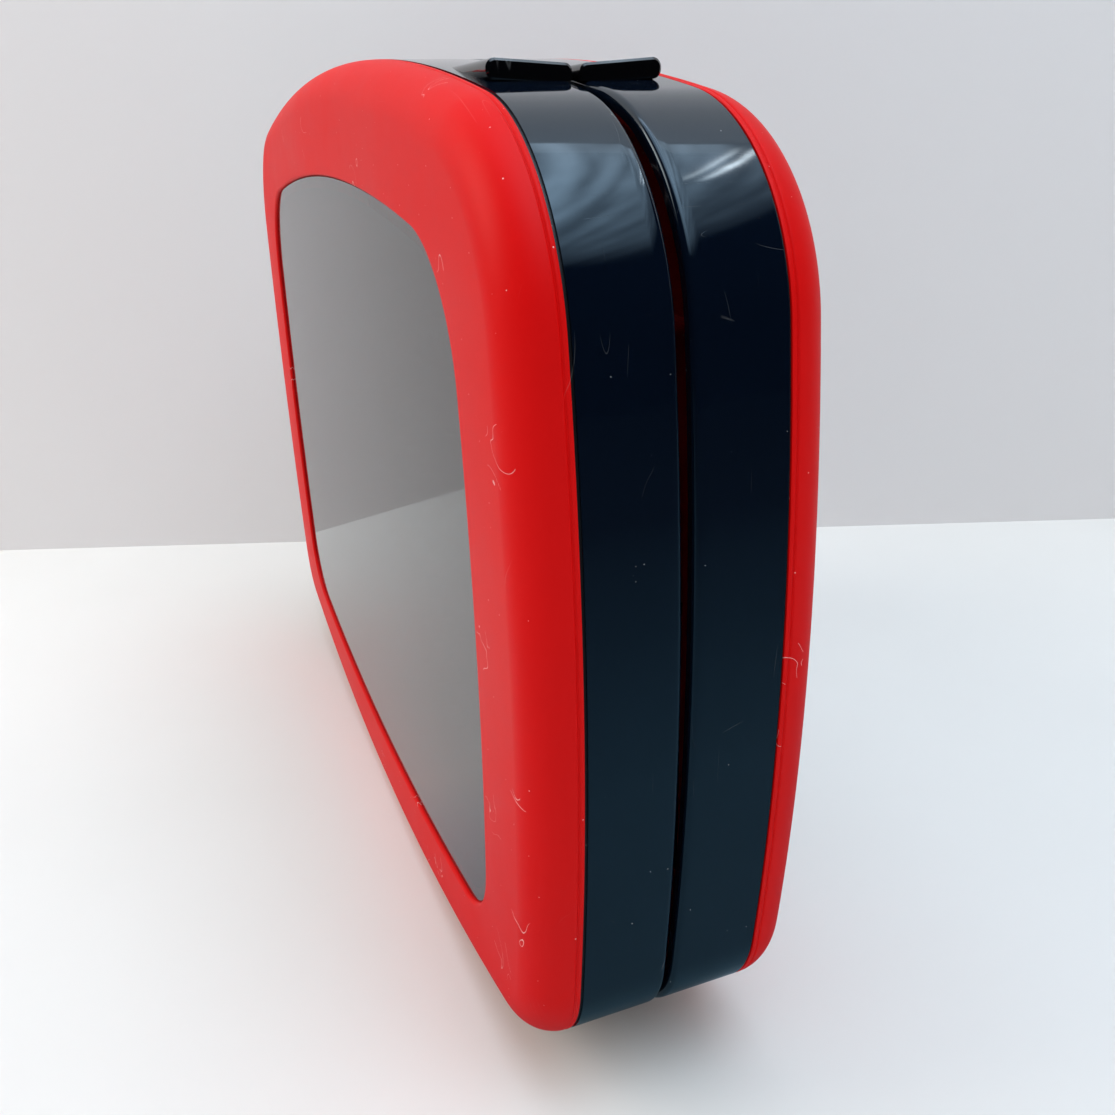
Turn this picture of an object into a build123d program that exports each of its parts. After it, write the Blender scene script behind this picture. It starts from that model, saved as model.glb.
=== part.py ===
"""Clamshell travel case for a two-player fleet guessing game.

Two bowed, rounded halves are hinged along the bottom edge.  Each half is a navy wall ring, a black
trim ring, a red bezel, a smoked window, a red inner deck and a peg grid board.  The base half also
holds the ships and two peg trays with sliding covers.

X runs along the width, Y through the thickness, Z up.  The seam is the XZ plane, the lid half lies
at -Y and the base half at +Y.  The origin is the middle of the surface that the case stands on.
A depth is a distance from the seam plane, outwards, in either half.
"""
import os
from math import floor, radians, sqrt, tan

from build123d import *

os.makedirs("parts", exist_ok=True)

LID, BASE = -1, 1                 # which side of the seam a half lies on

# ---- Overall shape: bowed sides joined by tangent corner arcs -------------------------------------
case_width = 272.0
case_height = 200.0
side_bow = 484.0                  # radius of the left and right sides
high_bow = 534.0                  # radius of the finger tab edge
low_bow = 462.0                   # radius of the hinge edge
high_corner = 39.5
low_corner = 24.3

# ---- Wall rings -----------------------------------------------------------------------------------
wall_depth = 18.0
wall_thickness = 2.4
flange_width = 4.0                # ledge that the bezel and the deck clamp
flange_thickness = 2.0
seam_half_gap_low = 0.45          # half of the gap between the walls, at the hinge edge
seam_half_gap_high = 1.35         # the same at the finger tab edge
seam_rounding = 1.2

# ---- Bezels, trim rings and windows ---------------------------------------------------------------
trim_thickness = 0.5
trim_recess = 0.45
trim_width = 4.5
bezel_height = 9.5                # how far a bezel stands off its trim ring
bezel_rounding = 9.0
bezel_edge_rounding = 0.4
bezel_thickness = 2.4
bezel_face_side = 28.0            # width of the red face beside the window
bezel_face_high = 24.4
bezel_face_low = 21.8
window_side_bow = 452.0
window_high_bow = 543.0
window_low_bow = 558.0
window_high_corner = 28.3
window_low_corner = 20.7
window_recess = 0.9
window_thickness = 2.0
window_clearance = 0.15
window_ledge = 3.0
window_rim = 3.0
window_rim_thickness = 1.5        # material under the window's edge
window_lip_rounding = 0.8

# ---- Decks, grid boards and screws ----------------------------------------------------------------
deck_clearance = 0.25
deck_rim_depth = 3.0
deck_rim_thickness = 1.6
deck_thickness = 2.0
deck_front = {LID: 6.0, BASE: 10.0}
grid_margin = 18.4                # from the window's upper and lower edges to the outer rows of holes
grid_count = 10
grid_border = 5.5                 # from the outer row of holes to the edge of the deck's opening
grid_corner = 6.0
board_overlap = 6.5
board_thickness = 2.4
peg_hole_radius = 1.6
socket_radius = 2.7
socket_length = 2.6
stake_radius = 1.5
stake_offset = 3.2
stake_length = 4.0
screw_inset = 10.0
screw_high_x = 60.0
screw_low_x = 88.0
screw_shank_radius = 1.25
screw_head_radius = 2.5
screw_head_height = 1.6
screw_head_rounding = 0.8
screw_slot_length = 3.0
screw_slot_width = 0.6
screw_slot_depth = 0.8
screw_grip = 8.0
screw_hole_clearance = 0.15
boss_radius = 3.0
panel_recess = 0.8
panel_margin = 6.0

# ---- Hinge ----------------------------------------------------------------------------------------
hinge_x = 52.0
barrel_radius = 4.0
pin_radius = 1.5
pin_clearance = 0.05
pin_end_recess = 0.5
pin_end_chamfer = 0.3
lid_knuckle = 12.0
base_knuckle = 9.0
knuckle_gap = 0.3
foot_setback = 1.5                # from a foot's end to the wall's outer edge
open_angle = 105.0
relief_gap = 0.4
relief_margin = 2.0               # degrees past the open angle's half
sweep_clearance = 3.2             # room around the barrel for the other half's arm
notch_clearance = 0.8

# ---- Finger tabs and catch ------------------------------------------------------------------------
tab_tip_inset = 43.0              # from the side of the case to the tab's end
tab_length = 22.0
tab_level_run = 20.7              # the tab's top meets the wall this far from its end
tab_thickness = 3.4
tab_inner = 0.7
tab_setback = 2.1                 # from a tab's outer edge to the wall's outer edge
tab_flare = 1.0
tab_web = 1.8
tab_web_drop = 2.6
tab_rounding = 1.3
tab_end_rounding = 1.6
tab_tip_chamfer = 0.4
tab_plug_inset = 9.0
tab_plug_length = 6.0
tab_plug_width = 8.0
tab_plug_drop = 8.0
catch_width = 20.0
catch_height = 7.0
catch_drop = 0.4
tongue_thickness = 3.0
tongue_reach = 5.0
tongue_chamfer = 0.6
catch_clearance = 0.4
keeper_wall = 3.6
keeper_front = 2.0

# ---- Peg trays, covers, pegs and ships ------------------------------------------------------------
rail_thickness = 1.4
rail_lip = 1.8
rail_lip_thickness = 1.0
rail_margin = 3.0
slide_clearance = 0.3
cover_thickness = 1.5
cover_overlap = 3.0
cover_ridge = 1.2
cover_ridge_width = 1.6
cover_ridge_pitch = 4.0
cover_ridge_count = 3
tray_share = 0.25                 # a peg tray's length, as a share of the case's height
tray_depth = 5.0
tray_wall = 1.6
tray_floor = 2.0
tray_flange = 1.0
tray_fit = 0.2
rack_pitch = 8.5
rack_margin = 2.1                 # least room between the rack's cells and the tray's walls
rack_rows_filled = 3
peg_radius = 1.5
peg_length = 5.0
peg_head_radius = 2.3
peg_head_height = 3.0
peg_rounding = 0.8
ship_beam = 10.0
ship_end_gap = 1.5                # from the ship's end to the edge of its last cell
ship_hull_height = 5.0
ship_bow_length = 9.0
ship_bow_shoulder = 3.0           # the bow's curve passes here, this far back from its tip,
ship_bow_shoulder_half = 3.1      # and this far from the keel line
ship_stern_half = 3.6
ship_stern_length = 5.0
ship_hole_depth = 4.0
ship_pin_length = 4.0
tower_height = 3.0
tower_length = 6.0
tower_width = 5.0
tower_taper = 12.0               # degrees
ship_rounding = 0.8

# Ships: name, holes, column and row of the first hole, and whether the ship stands along Z
ships = (
    ("carrier", 5, 1, 8, False),
    ("dreadnought", 4, 8, 3, True),
    ("cruiser", 3, 3, 5, False),
    ("submarine", 3, 1, 2, True),
    ("patrol_boat", 2, 5, 1, False),
)
# Columns and rows of the pegs that stand in the lid's grid
white_marks = ((1, 1), (2, 6), (4, 2), (6, 8), (7, 4), (8, 1), (0, 8), (5, 5), (9, 6))
red_marks = ((3, 3), (3, 4), (3, 5), (6, 2), (7, 2))

# ---- Values that follow from the ones above -------------------------------------------------------
half_width = case_width / 2
mid_height = case_height / 2
axis_z = barrel_radius            # the barrels stand on the same surface as the walls
foot_depth = wall_depth - foot_setback
tab_outer = wall_depth - tab_setback
bezel_depth = wall_depth + trim_thickness
half_depth = bezel_depth + bezel_height
face_rounding = min(bezel_rounding, bezel_height - bezel_edge_rounding)
window_depth = half_depth - window_recess - window_thickness
deck_inset = wall_thickness + deck_clearance
room_inset = deck_inset + deck_rim_thickness
window_low = bezel_face_low
window_high = case_height - bezel_face_high
grid_z = (window_low + window_high) / 2
grid_pitch = (window_high - window_low - 2 * grid_margin) / (grid_count - 1)
grid_reach = grid_pitch * (grid_count - 1) / 2
opening_half = grid_reach + grid_border
board_half = opening_half + board_overlap
station_half = lid_knuckle / 2 + knuckle_gap + base_knuckle


class BowedOutline:
    """A rounded rectangle whose four sides are shallow arcs, joined by tangent corner arcs."""

    def __init__(self, half, low, high, middle, side, top, bottom, high_r, low_r):
        self.sizes = (half, low, high, middle, side, top, bottom, high_r, low_r)
        self.half, self.low, self.high, self.middle = half, low, high, middle
        self.side, self.top, self.bottom = side, top, bottom
        self.side_centre = Vector(half - side, middle)
        self.top_centre = Vector(0, high - top)
        self.bottom_centre = Vector(0, low + bottom)
        self.high_corner = self.corner(self.top_centre, top, high_r)
        self.low_corner = self.corner(self.bottom_centre, bottom, low_r)

    def corner(self, end_centre, end_radius, radius):
        """Side tangent point, middle and end tangent point of the corner arc, and its centre."""
        reach_side, reach_end = self.side - radius, end_radius - radius
        span = end_centre - self.side_centre
        along = (span.length**2 + reach_side**2 - reach_end**2) / (2 * span.length)
        across = sqrt(reach_side**2 - along**2)
        unit = span.normalized()
        normal = Vector(-unit.Y, unit.X)
        foot = self.side_centre + unit * along
        centre = max((foot + normal * across, foot - normal * across), key=lambda p: p.X)
        to_side = (centre - self.side_centre).normalized()
        to_end = (centre - end_centre).normalized()
        return (
            self.side_centre + to_side * self.side,
            centre + (to_side + to_end).normalized() * radius,
            end_centre + to_end * end_radius,
            centre,
            radius,
        )

    def inset(self, distance):
        """The parallel outline, this far inside."""
        half, low, high, middle, side, top, bottom, high_r, low_r = self.sizes
        return BowedOutline(
            half - distance, low + distance, high - distance, middle, side - distance,
            top - distance, bottom - distance, high_r - distance, low_r - distance,
        )

    def draw(self, mode=Mode.ADD):
        """Adds the outline's face to the sketch that is being built."""
        high_side, high_mid, high_end = self.high_corner[:3]
        low_side, low_mid, low_end = self.low_corner[:3]

        def flip(point):
            return Vector(-point.X, point.Y)

        with BuildLine() as loop:
            ThreePointArc(low_side, (self.half, self.middle), high_side)
            ThreePointArc(high_side, high_mid, high_end)
            ThreePointArc(high_end, (0, self.high), flip(high_end))
            ThreePointArc(flip(high_end), flip(high_mid), flip(high_side))
            ThreePointArc(flip(high_side), (-self.half, self.middle), flip(low_side))
            ThreePointArc(flip(low_side), flip(low_mid), flip(low_end))
            ThreePointArc(flip(low_end), (0, self.low), low_end)
            ThreePointArc(low_end, low_mid, low_side)
        make_face(loop.edges(), mode=mode)

    def edge_x(self, z):
        """Half the width at height z."""
        for side_point, _, _, centre, radius in (self.high_corner, self.low_corner):
            if abs(z - self.middle) > abs(side_point.Y - self.middle):
                if (z > self.middle) == (side_point.Y > self.middle):
                    return centre.X + sqrt(radius**2 - (z - centre.Y) ** 2)
        return self.side_centre.X + sqrt(self.side**2 - (z - self.middle) ** 2)

    def top_z(self, x):
        """Height of the top arc at x."""
        return self.top_centre.Y + sqrt(self.top**2 - x**2)

    def bottom_z(self, x):
        """Height of the bottom arc at x."""
        return self.bottom_centre.Y - sqrt(self.bottom**2 - x**2)


case_outline = BowedOutline(
    half_width, 0, case_height, mid_height, side_bow, high_bow, low_bow, high_corner, low_corner
)
window_outline = BowedOutline(
    half_width - bezel_face_side, window_low, window_high, mid_height, window_side_bow,
    window_high_bow, window_low_bow, window_high_corner, window_low_corner,
)


def facing(side, depth):
    """A plane at this depth that faces away from the seam, with its own Y along +Z."""
    return Plane(origin=(0, side * depth, 0), x_dir=(-side, 0, 0), z_dir=(0, side, 0))


def across(x):
    """A plane at x that faces +X, with its own X along +Y and its own Y along +Z."""
    return Plane.YZ.offset(x)


def save(builder, name):
    """Labels a finished piece and writes its STEP file."""
    builder.part.label = name
    export_step(builder.part, f"parts/{name}.step")


def cell(column, row, side):
    """A grid hole's centre on a facing plane of one half."""
    x = (column - (grid_count - 1) / 2) * grid_pitch
    z = grid_z + (row - (grid_count - 1) / 2) * grid_pitch
    return (-side * x, z)


# Screw centres on a facing plane: four in the corners, two along the top and two along the bottom
screw_line = case_outline.inset(screw_inset)
screw_centres = [
    (sign * point[0], point[1])
    for sign in (-1, 1)
    for point in (
        (screw_line.high_corner[1].X, screw_line.high_corner[1].Y),
        (screw_line.low_corner[1].X, screw_line.low_corner[1].Y),
        (screw_high_x, screw_line.top_z(screw_high_x)),
        (screw_low_x, screw_line.bottom_z(screw_low_x)),
    )
]

# Knuckle zones along X: (start, end) of each knuckle of each half
lid_zones = [(sign * hinge_x - lid_knuckle / 2, sign * hinge_x + lid_knuckle / 2) for sign in (-1, 1)]
base_zones = [
    tuple(sorted((sign * hinge_x + end * (station_half - base_knuckle), sign * hinge_x + end * station_half)))
    for sign in (-1, 1)
    for end in (-1, 1)
]
zones = {LID: lid_zones, BASE: base_zones}
pin_bore = {LID: pin_radius + pin_clearance, BASE: pin_radius}

# ---- Finger tabs: flared plates on the shoulders, one per half at each end -------------------------
tab_tip_x = half_width - tab_tip_inset
tab_top = case_outline.top_z(tab_tip_x - tab_level_run)


def tab_plug(side, sign):
    """The plug under a finger tab, from the wall's inner surface up into the plate."""
    with BuildPart() as plug:
        with BuildSketch(Plane.XY.offset(tab_top - tab_thickness / 2)):
            with Locations((sign * (tab_tip_x - tab_plug_inset), side * (tab_inner + tab_outer) / 2)):
                Rectangle(tab_plug_length, tab_plug_width)
        extrude(amount=-tab_plug_drop)
        with BuildSketch(facing(side, 0)):
            case_outline.inset(wall_thickness).draw()
        extrude(amount=half_depth, mode=Mode.SUBTRACT)
    return plug


def finger_tab(side, sign, plug):
    """A flared plate with a web beside the seam, seated on the wall and plugged into it."""
    inner, outer = side * tab_inner, side * tab_outer
    web = side * (tab_inner + tab_web)
    root = tab_top - tab_flare / 2
    start = sign * tab_tip_x - (tab_length if sign > 0 else 0)
    with BuildPart() as tab:
        with BuildSketch(across(start)) as profile:
            with BuildLine():
                Polyline(
                    (inner, root), (outer, root + tab_flare), (outer, root + tab_flare - tab_thickness),
                    (web, root - tab_thickness), (web, root - tab_thickness - tab_web_drop),
                    (inner, root - tab_thickness - tab_web_drop), close=True,
                )
            make_face()
            outer_end = sorted(profile.vertices(), key=lambda v: side * v.X)[-2:]
            fillet(outer_end, tab_end_rounding)
            seam_top = max(profile.vertices(), key=lambda v: v.Y - side * v.X)
            fillet(seam_top, tab_rounding)
        extrude(amount=tab_length)
        tip = tab.faces().sort_by(Axis.X)[-1 if sign > 0 else 0]
        chamfer(tip.outer_wire().edges().group_by(Axis.Z)[-1], tab_tip_chamfer)
        with BuildSketch(facing(side, 0)):
            case_outline.draw()
        extrude(amount=half_depth, mode=Mode.SUBTRACT)
        add(plug.part)
    return tab


plugs = {(side, sign): tab_plug(side, sign) for side in (LID, BASE) for sign in (-1, 1)}
for (side, sign), plug in plugs.items():
    half_name = "lid" if side == LID else "base"
    hand = "right" if sign > 0 else "left"
    save(finger_tab(side, sign, plug), f"{half_name}_tab_{hand}")


# ---- Wall rings, with their hinge knuckles and standing feet ---------------------------------------
def wall_ring(side):
    """A bowed ring with an inner flange; its seam edge is rounded and its hinge edge relieved."""
    other = -side
    taper = seam_half_gap_high - seam_half_gap_low
    seam = Plane(
        origin=(0, side * seam_half_gap_low, 0), x_dir=(1, 0, 0), z_dir=(0, side * case_height, -taper)
    )
    hollow = case_outline.inset(wall_thickness)
    with BuildPart() as wall:
        with BuildSketch(facing(side, 0)):
            case_outline.draw()
            case_outline.inset(wall_thickness + flange_width).draw(mode=Mode.SUBTRACT)
        extrude(amount=wall_depth)
        with BuildSketch(facing(side, 0)):
            hollow.draw()
        extrude(amount=wall_depth - flange_thickness, mode=Mode.SUBTRACT)
        split(bisect_by=seam, keep=Keep.TOP)
        seam_face = wall.faces().sort_by(Axis.Y)[0 if side == BASE else -1]
        fillet(seam_face.outer_wire().edges(), seam_rounding)

        # Both walls are cut back below the hinge axis, so that they don't meet when the lid opens
        relief_top = axis_z + relief_gap
        relief_low = -2.0 * relief_gap
        relief_reach = side * (relief_top - relief_low) * tan(radians(open_angle / 2 + relief_margin))
        with BuildSketch(across(0)):
            with BuildLine():
                Polyline((0, relief_top), (0, relief_low), (relief_reach, relief_low), close=True)
            make_face()
        extrude(amount=half_width, both=True, mode=Mode.SUBTRACT)

        # Room for the other half's knuckles and arms
        for start, end in zones[other]:
            with BuildSketch(across(start - knuckle_gap)):
                with Locations((0, axis_z)):
                    Circle(barrel_radius + sweep_clearance)
            extrude(amount=end - start + 2 * knuckle_gap, mode=Mode.SUBTRACT)

        # This half's knuckles, each on an arm that ends in a flat foot
        for start, end in zones[side]:
            with BuildSketch(across(start)):
                with Locations((0, axis_z)):
                    Circle(barrel_radius)
                with Locations((side * foot_depth / 2, axis_z)):
                    Rectangle(foot_depth, 2 * barrel_radius)
            extrude(amount=end - start)
        arm_depth = barrel_radius + notch_clearance
        with BuildSketch(facing(side, arm_depth)):
            hollow.draw()
        extrude(amount=wall_depth - flange_thickness - arm_depth, mode=Mode.SUBTRACT)
        for start, end in zones[side]:
            with BuildSketch(across(start)):
                with Locations((0, axis_z)):
                    Circle(pin_bore[side])
            extrude(amount=end - start, mode=Mode.SUBTRACT)
        add(plugs[side, -1].part, mode=Mode.SUBTRACT)
        add(plugs[side, 1].part, mode=Mode.SUBTRACT)
    return wall


save(wall_ring(LID), "lid_wall")
save(wall_ring(BASE), "base_wall")

# ---- Hinge pins ------------------------------------------------------------------------------------
for pin_name, sign in (("hinge_pin_left", -1), ("hinge_pin_right", 1)):
    with BuildPart() as pin:
        with BuildSketch(across(sign * hinge_x)):
            with Locations((0, axis_z)):
                Circle(pin_radius)
        extrude(amount=station_half - pin_end_recess, both=True)
        chamfer(pin.edges().filter_by(GeomType.CIRCLE), pin_end_chamfer)
    save(pin, pin_name)


# ---- Trim rings: the dark line between wall and bezel ----------------------------------------------
def trim_ring(side):
    with BuildPart() as trim:
        with BuildSketch(facing(side, wall_depth)):
            case_outline.inset(trim_recess).draw()
            case_outline.inset(trim_recess + trim_width).draw(mode=Mode.SUBTRACT)
        extrude(amount=trim_thickness)
    return trim


save(trim_ring(LID), "lid_trim_ring")
save(trim_ring(BASE), "base_trim_ring")


# ---- Bezels: soft-edged shells that hold the windows and carry the screw bosses --------------------
def bezel_cavity(side):
    """The hollow behind a bezel's face."""
    with BuildPart() as cavity:
        with BuildSketch(facing(side, bezel_depth)):
            case_outline.inset(bezel_thickness).draw()
        extrude(amount=half_depth - bezel_thickness - bezel_depth)
        back = cavity.faces().sort_by(Axis.Y)[-1 if side == BASE else 0]
        fillet(back.edges(), face_rounding - bezel_thickness)
    return cavity


def bezel_shell(side, cavity):
    rim_depth = window_depth - window_rim_thickness
    boss_depth = deck_front[side] + deck_thickness
    with BuildPart() as bezel:
        with BuildSketch(facing(side, bezel_depth)):
            case_outline.draw()
        extrude(amount=half_depth - bezel_depth)
        face = bezel.faces().sort_by(Axis.Y)[-1 if side == BASE else 0]
        fillet(face.edges(), face_rounding)
        back = bezel.faces().sort_by(Axis.Y)[0 if side == BASE else -1]
        fillet(back.edges(), bezel_edge_rounding)
        add(cavity.part, mode=Mode.SUBTRACT)
        with BuildSketch(facing(side, rim_depth)):
            window_outline.inset(-window_rim).draw()
        extrude(amount=half_depth - bezel_thickness / 2 - rim_depth)
        with BuildSketch(facing(side, rim_depth)):
            window_outline.inset(window_ledge).draw()
        extrude(amount=half_depth, mode=Mode.SUBTRACT)
        with BuildSketch(facing(side, window_depth)):
            window_outline.draw()
        extrude(amount=half_depth, mode=Mode.SUBTRACT)
        face = bezel.faces().filter_by(Axis.Y).sort_by(Axis.Y)[-1 if side == BASE else 0]
        fillet(face.inner_wires()[0].edges(), window_lip_rounding)
        with BuildSketch(facing(side, boss_depth)):
            with Locations(*screw_centres):
                Circle(boss_radius)
        extrude(amount=half_depth - bezel_thickness / 2 - boss_depth)
        with BuildSketch(facing(side, boss_depth)):
            with Locations(*screw_centres):
                Circle(screw_shank_radius)
        extrude(amount=screw_grip, mode=Mode.SUBTRACT)
    return bezel


save(bezel_shell(LID, bezel_cavity(LID)), "lid_bezel")
save(bezel_shell(BASE, bezel_cavity(BASE)), "base_bezel")


# ---- Windows ---------------------------------------------------------------------------------------
def window_pane(side):
    with BuildPart() as window:
        with BuildSketch(facing(side, window_depth)):
            window_outline.inset(window_clearance).draw()
        extrude(amount=window_thickness)
        face = window.faces().filter_by(Axis.Y).sort_by(Axis.Y)[-1 if side == BASE else 0]
        chamfer(face.edges(), window_clearance)
    return window


save(window_pane(LID), "lid_window")
save(window_pane(BASE), "base_window")

# ---- Where the peg trays, their rails and their covers lie ------------------------------------------
room = case_outline.inset(room_inset)
tray_length = tray_share * case_height
cover_length = tray_length + 2 * cover_overlap
slide_travel = tray_length
rail_length = cover_length + slide_travel + 2 * slide_clearance
rail_low = mid_height - rail_length / 2
band_inner = board_half + rail_margin
band_outer = min(room.edge_x(rail_low), room.edge_x(rail_low + rail_length)) - rail_margin
cover_width = band_outer - band_inner - 2 * (rail_thickness + slide_clearance)
tray_width = cover_width - 2 * cover_overlap
band_x = (band_inner + band_outer) / 2
cover_z = rail_low + slide_clearance + cover_length / 2
flange_front = deck_front[BASE] - tray_flange
cover_back = flange_front - slide_clearance
cover_front = cover_back - cover_thickness
lip_back = cover_front - slide_clearance
rack_columns = floor((tray_width - rack_margin) / rack_pitch)
rack_rows = floor((tray_length - rack_margin) / rack_pitch)


# ---- Decks: inner trays that clamp the walls and frame the grid boards ------------------------------
def deck_tray(side):
    front = deck_front[side]
    back = front + deck_thickness
    with BuildPart() as deck:
        with BuildSketch(facing(side, deck_rim_depth)):
            case_outline.inset(deck_inset).draw()
        extrude(amount=wall_depth - flange_thickness - deck_rim_depth)
        with BuildSketch(facing(side, deck_rim_depth)):
            room.draw()
        extrude(amount=front - deck_rim_depth, mode=Mode.SUBTRACT)
        with BuildSketch(facing(side, back)):
            room.draw()
        extrude(amount=wall_depth - back, mode=Mode.SUBTRACT)
        with BuildSketch(facing(side, front)):
            with Locations((0, grid_z)):
                RectangleRounded(2 * opening_half, 2 * opening_half, grid_corner)
            with Locations(*screw_centres):
                Circle(screw_shank_radius + screw_hole_clearance)
        extrude(amount=deck_thickness, mode=Mode.SUBTRACT)

        # Stakes behind the floor hold the grid board
        stake = opening_half + stake_offset
        with BuildSketch(facing(side, back)):
            with Locations((0, grid_z)):
                with GridLocations(2 * stake, 2 * stake, 2, 2):
                    Circle(stake_radius)
        extrude(amount=stake_length)

        # Notches over the hinge barrels
        notch_top = axis_z + barrel_radius + notch_clearance
        with BuildSketch(facing(side, 0)):
            with Locations((-hinge_x, notch_top / 2), (hinge_x, notch_top / 2)):
                Rectangle(2 * (station_half + notch_clearance), notch_top)
        extrude(amount=barrel_radius + 2 * notch_clearance, mode=Mode.SUBTRACT)

        if side == LID:
            # Shallow recessed panels beside the grid
            panel_width = band_outer - band_inner - 2 * rail_thickness
            with BuildSketch(facing(side, front)):
                with Locations((-band_x, mid_height), (band_x, mid_height)):
                    RectangleRounded(panel_width, rail_length, panel_margin)
            extrude(amount=panel_recess, mode=Mode.SUBTRACT)
        else:
            # Openings for the peg trays, and the rails and stops of their covers
            with BuildSketch(facing(side, front)):
                with Locations((-band_x, cover_z), (band_x, cover_z)):
                    Rectangle(tray_width + 2 * (tray_wall + tray_fit), tray_length + 2 * (tray_wall + tray_fit))
            extrude(amount=deck_thickness, mode=Mode.SUBTRACT)
            frame_width = band_outer - band_inner
            with BuildSketch(facing(side, front)):
                with Locations((-band_x, mid_height), (band_x, mid_height)):
                    Rectangle(frame_width, rail_length + 2 * rail_thickness)
                    Rectangle(frame_width - 2 * rail_thickness, rail_length, mode=Mode.SUBTRACT)
            extrude(amount=-(front - cover_front))
            with BuildSketch(facing(side, cover_front)):
                for x in (-band_x, band_x):
                    with Locations((x - frame_width / 2 + rail_thickness / 2, mid_height),
                                   (x + frame_width / 2 - rail_thickness / 2, mid_height)):
                        Rectangle(rail_thickness, rail_length + 2 * rail_thickness)
            extrude(amount=-(cover_front - lip_back))
            lip_centre = frame_width / 2 - (rail_thickness + rail_lip) / 2
            with BuildSketch(facing(side, lip_back)):
                for x in (-band_x, band_x):
                    with Locations((x - lip_centre, mid_height), (x + lip_centre, mid_height)):
                        Rectangle(rail_thickness + rail_lip, rail_length + 2 * rail_thickness)
            extrude(amount=-rail_lip_thickness)
    return deck


save(deck_tray(LID), "lid_deck")
save(deck_tray(BASE), "base_deck")


# ---- Grid boards: a plate with a short socket behind each hole --------------------------------------
def grid_board(side):
    front = deck_front[side] + deck_thickness
    stake = opening_half + stake_offset
    with BuildPart() as board:
        with BuildSketch(facing(side, front)):
            with Locations((0, grid_z)):
                RectangleRounded(2 * board_half, 2 * board_half, board_overlap)
        extrude(amount=board_thickness)
        with BuildSketch(facing(side, front + board_thickness)):
            with Locations((0, grid_z)):
                with GridLocations(grid_pitch, grid_pitch, grid_count, grid_count):
                    Circle(socket_radius)
        extrude(amount=socket_length)
        with BuildSketch(facing(side, front)):
            with Locations((0, grid_z)):
                with GridLocations(grid_pitch, grid_pitch, grid_count, grid_count):
                    Circle(peg_hole_radius)
                with GridLocations(2 * stake, 2 * stake, 2, 2):
                    Circle(stake_radius)
        extrude(amount=board_thickness + socket_length, mode=Mode.SUBTRACT)
    return board


save(grid_board(LID), "target_grid")
save(grid_board(BASE), "ocean_grid")


# ---- Screws, from the decks into the bezels' bosses -------------------------------------------------
def screw_group(side):
    front = deck_front[side]
    with BuildPart() as screws:
        with BuildSketch(facing(side, front)):
            with Locations(*screw_centres):
                Circle(screw_head_radius)
        extrude(amount=-screw_head_height)
        crowns = screws.edges().filter_by(GeomType.CIRCLE).group_by(Axis.Y)[0 if side == BASE else -1]
        fillet(crowns, screw_head_rounding)
        with BuildSketch(facing(side, front)):
            with Locations(*screw_centres):
                Circle(screw_shank_radius)
        extrude(amount=deck_thickness + screw_grip)
        with BuildSketch(facing(side, front - screw_head_height)):
            with Locations(*screw_centres):
                Rectangle(screw_slot_length, screw_slot_width)
                Rectangle(screw_slot_width, screw_slot_length)
        extrude(amount=screw_slot_depth, mode=Mode.SUBTRACT)
    return screws


save(screw_group(LID), "lid_screws")
save(screw_group(BASE), "base_screws")

# ---- Catch: a tongue on the lid's deck and a keeper on the base's deck ------------------------------
catch_top = case_height - room_inset - catch_drop
catch_z = catch_top - catch_height / 2
with BuildPart() as catch_tongue:
    with BuildSketch(facing(LID, deck_front[LID])):
        with Locations((0, catch_z)):
            Rectangle(catch_width, catch_height)
    extrude(amount=-(deck_front[LID] - seam_half_gap_high))
    with BuildSketch(facing(LID, seam_half_gap_high)):
        with Locations((0, catch_z)):
            Rectangle(catch_width, tongue_thickness)
    extrude(amount=-(seam_half_gap_high + tongue_reach))
    tip = catch_tongue.faces().sort_by(Axis.Y)[-1]
    chamfer(tip.edges(), tongue_chamfer)
save(catch_tongue, "catch_tongue")

with BuildPart() as catch_keeper:
    keeper_width = catch_width + 2 * (catch_clearance + keeper_wall)
    with BuildSketch(facing(BASE, keeper_front)):
        with Locations((0, catch_top - catch_height / 2)):
            Rectangle(keeper_width, catch_height)
    extrude(amount=deck_front[BASE] - keeper_front)
    with BuildSketch(facing(BASE, keeper_front)):
        with Locations((0, catch_z)):
            Rectangle(catch_width + 2 * catch_clearance, tongue_thickness + 2 * catch_clearance)
    extrude(amount=tongue_reach - keeper_front + catch_clearance, mode=Mode.SUBTRACT)
save(catch_keeper, "catch_keeper")


# ---- Peg trays, their pegs and their sliding covers -------------------------------------------------
def rack_points(x, first_row, last_row):
    """Hole centres of a tray's rack, on a facing plane of the base."""
    return [
        (x + (column - (rack_columns - 1) / 2) * rack_pitch,
         cover_z + (row - (rack_rows - 1) / 2) * rack_pitch)
        for column in range(rack_columns)
        for row in range(first_row, last_row)
    ]


def peg_group(side, seat, points):
    """Pegs that stand on a surface at this depth, heads towards the seam."""
    with BuildPart() as pegs:
        with BuildSketch(facing(side, seat)):
            with Locations(*points):
                Circle(peg_head_radius)
        extrude(amount=-peg_head_height)
        crowns = pegs.edges().filter_by(GeomType.CIRCLE).group_by(Axis.Y)[0 if side == BASE else -1]
        fillet(crowns, peg_rounding)
        with BuildSketch(facing(side, seat)):
            with Locations(*points):
                Circle(peg_radius)
        extrude(amount=peg_length)
    return pegs


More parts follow.
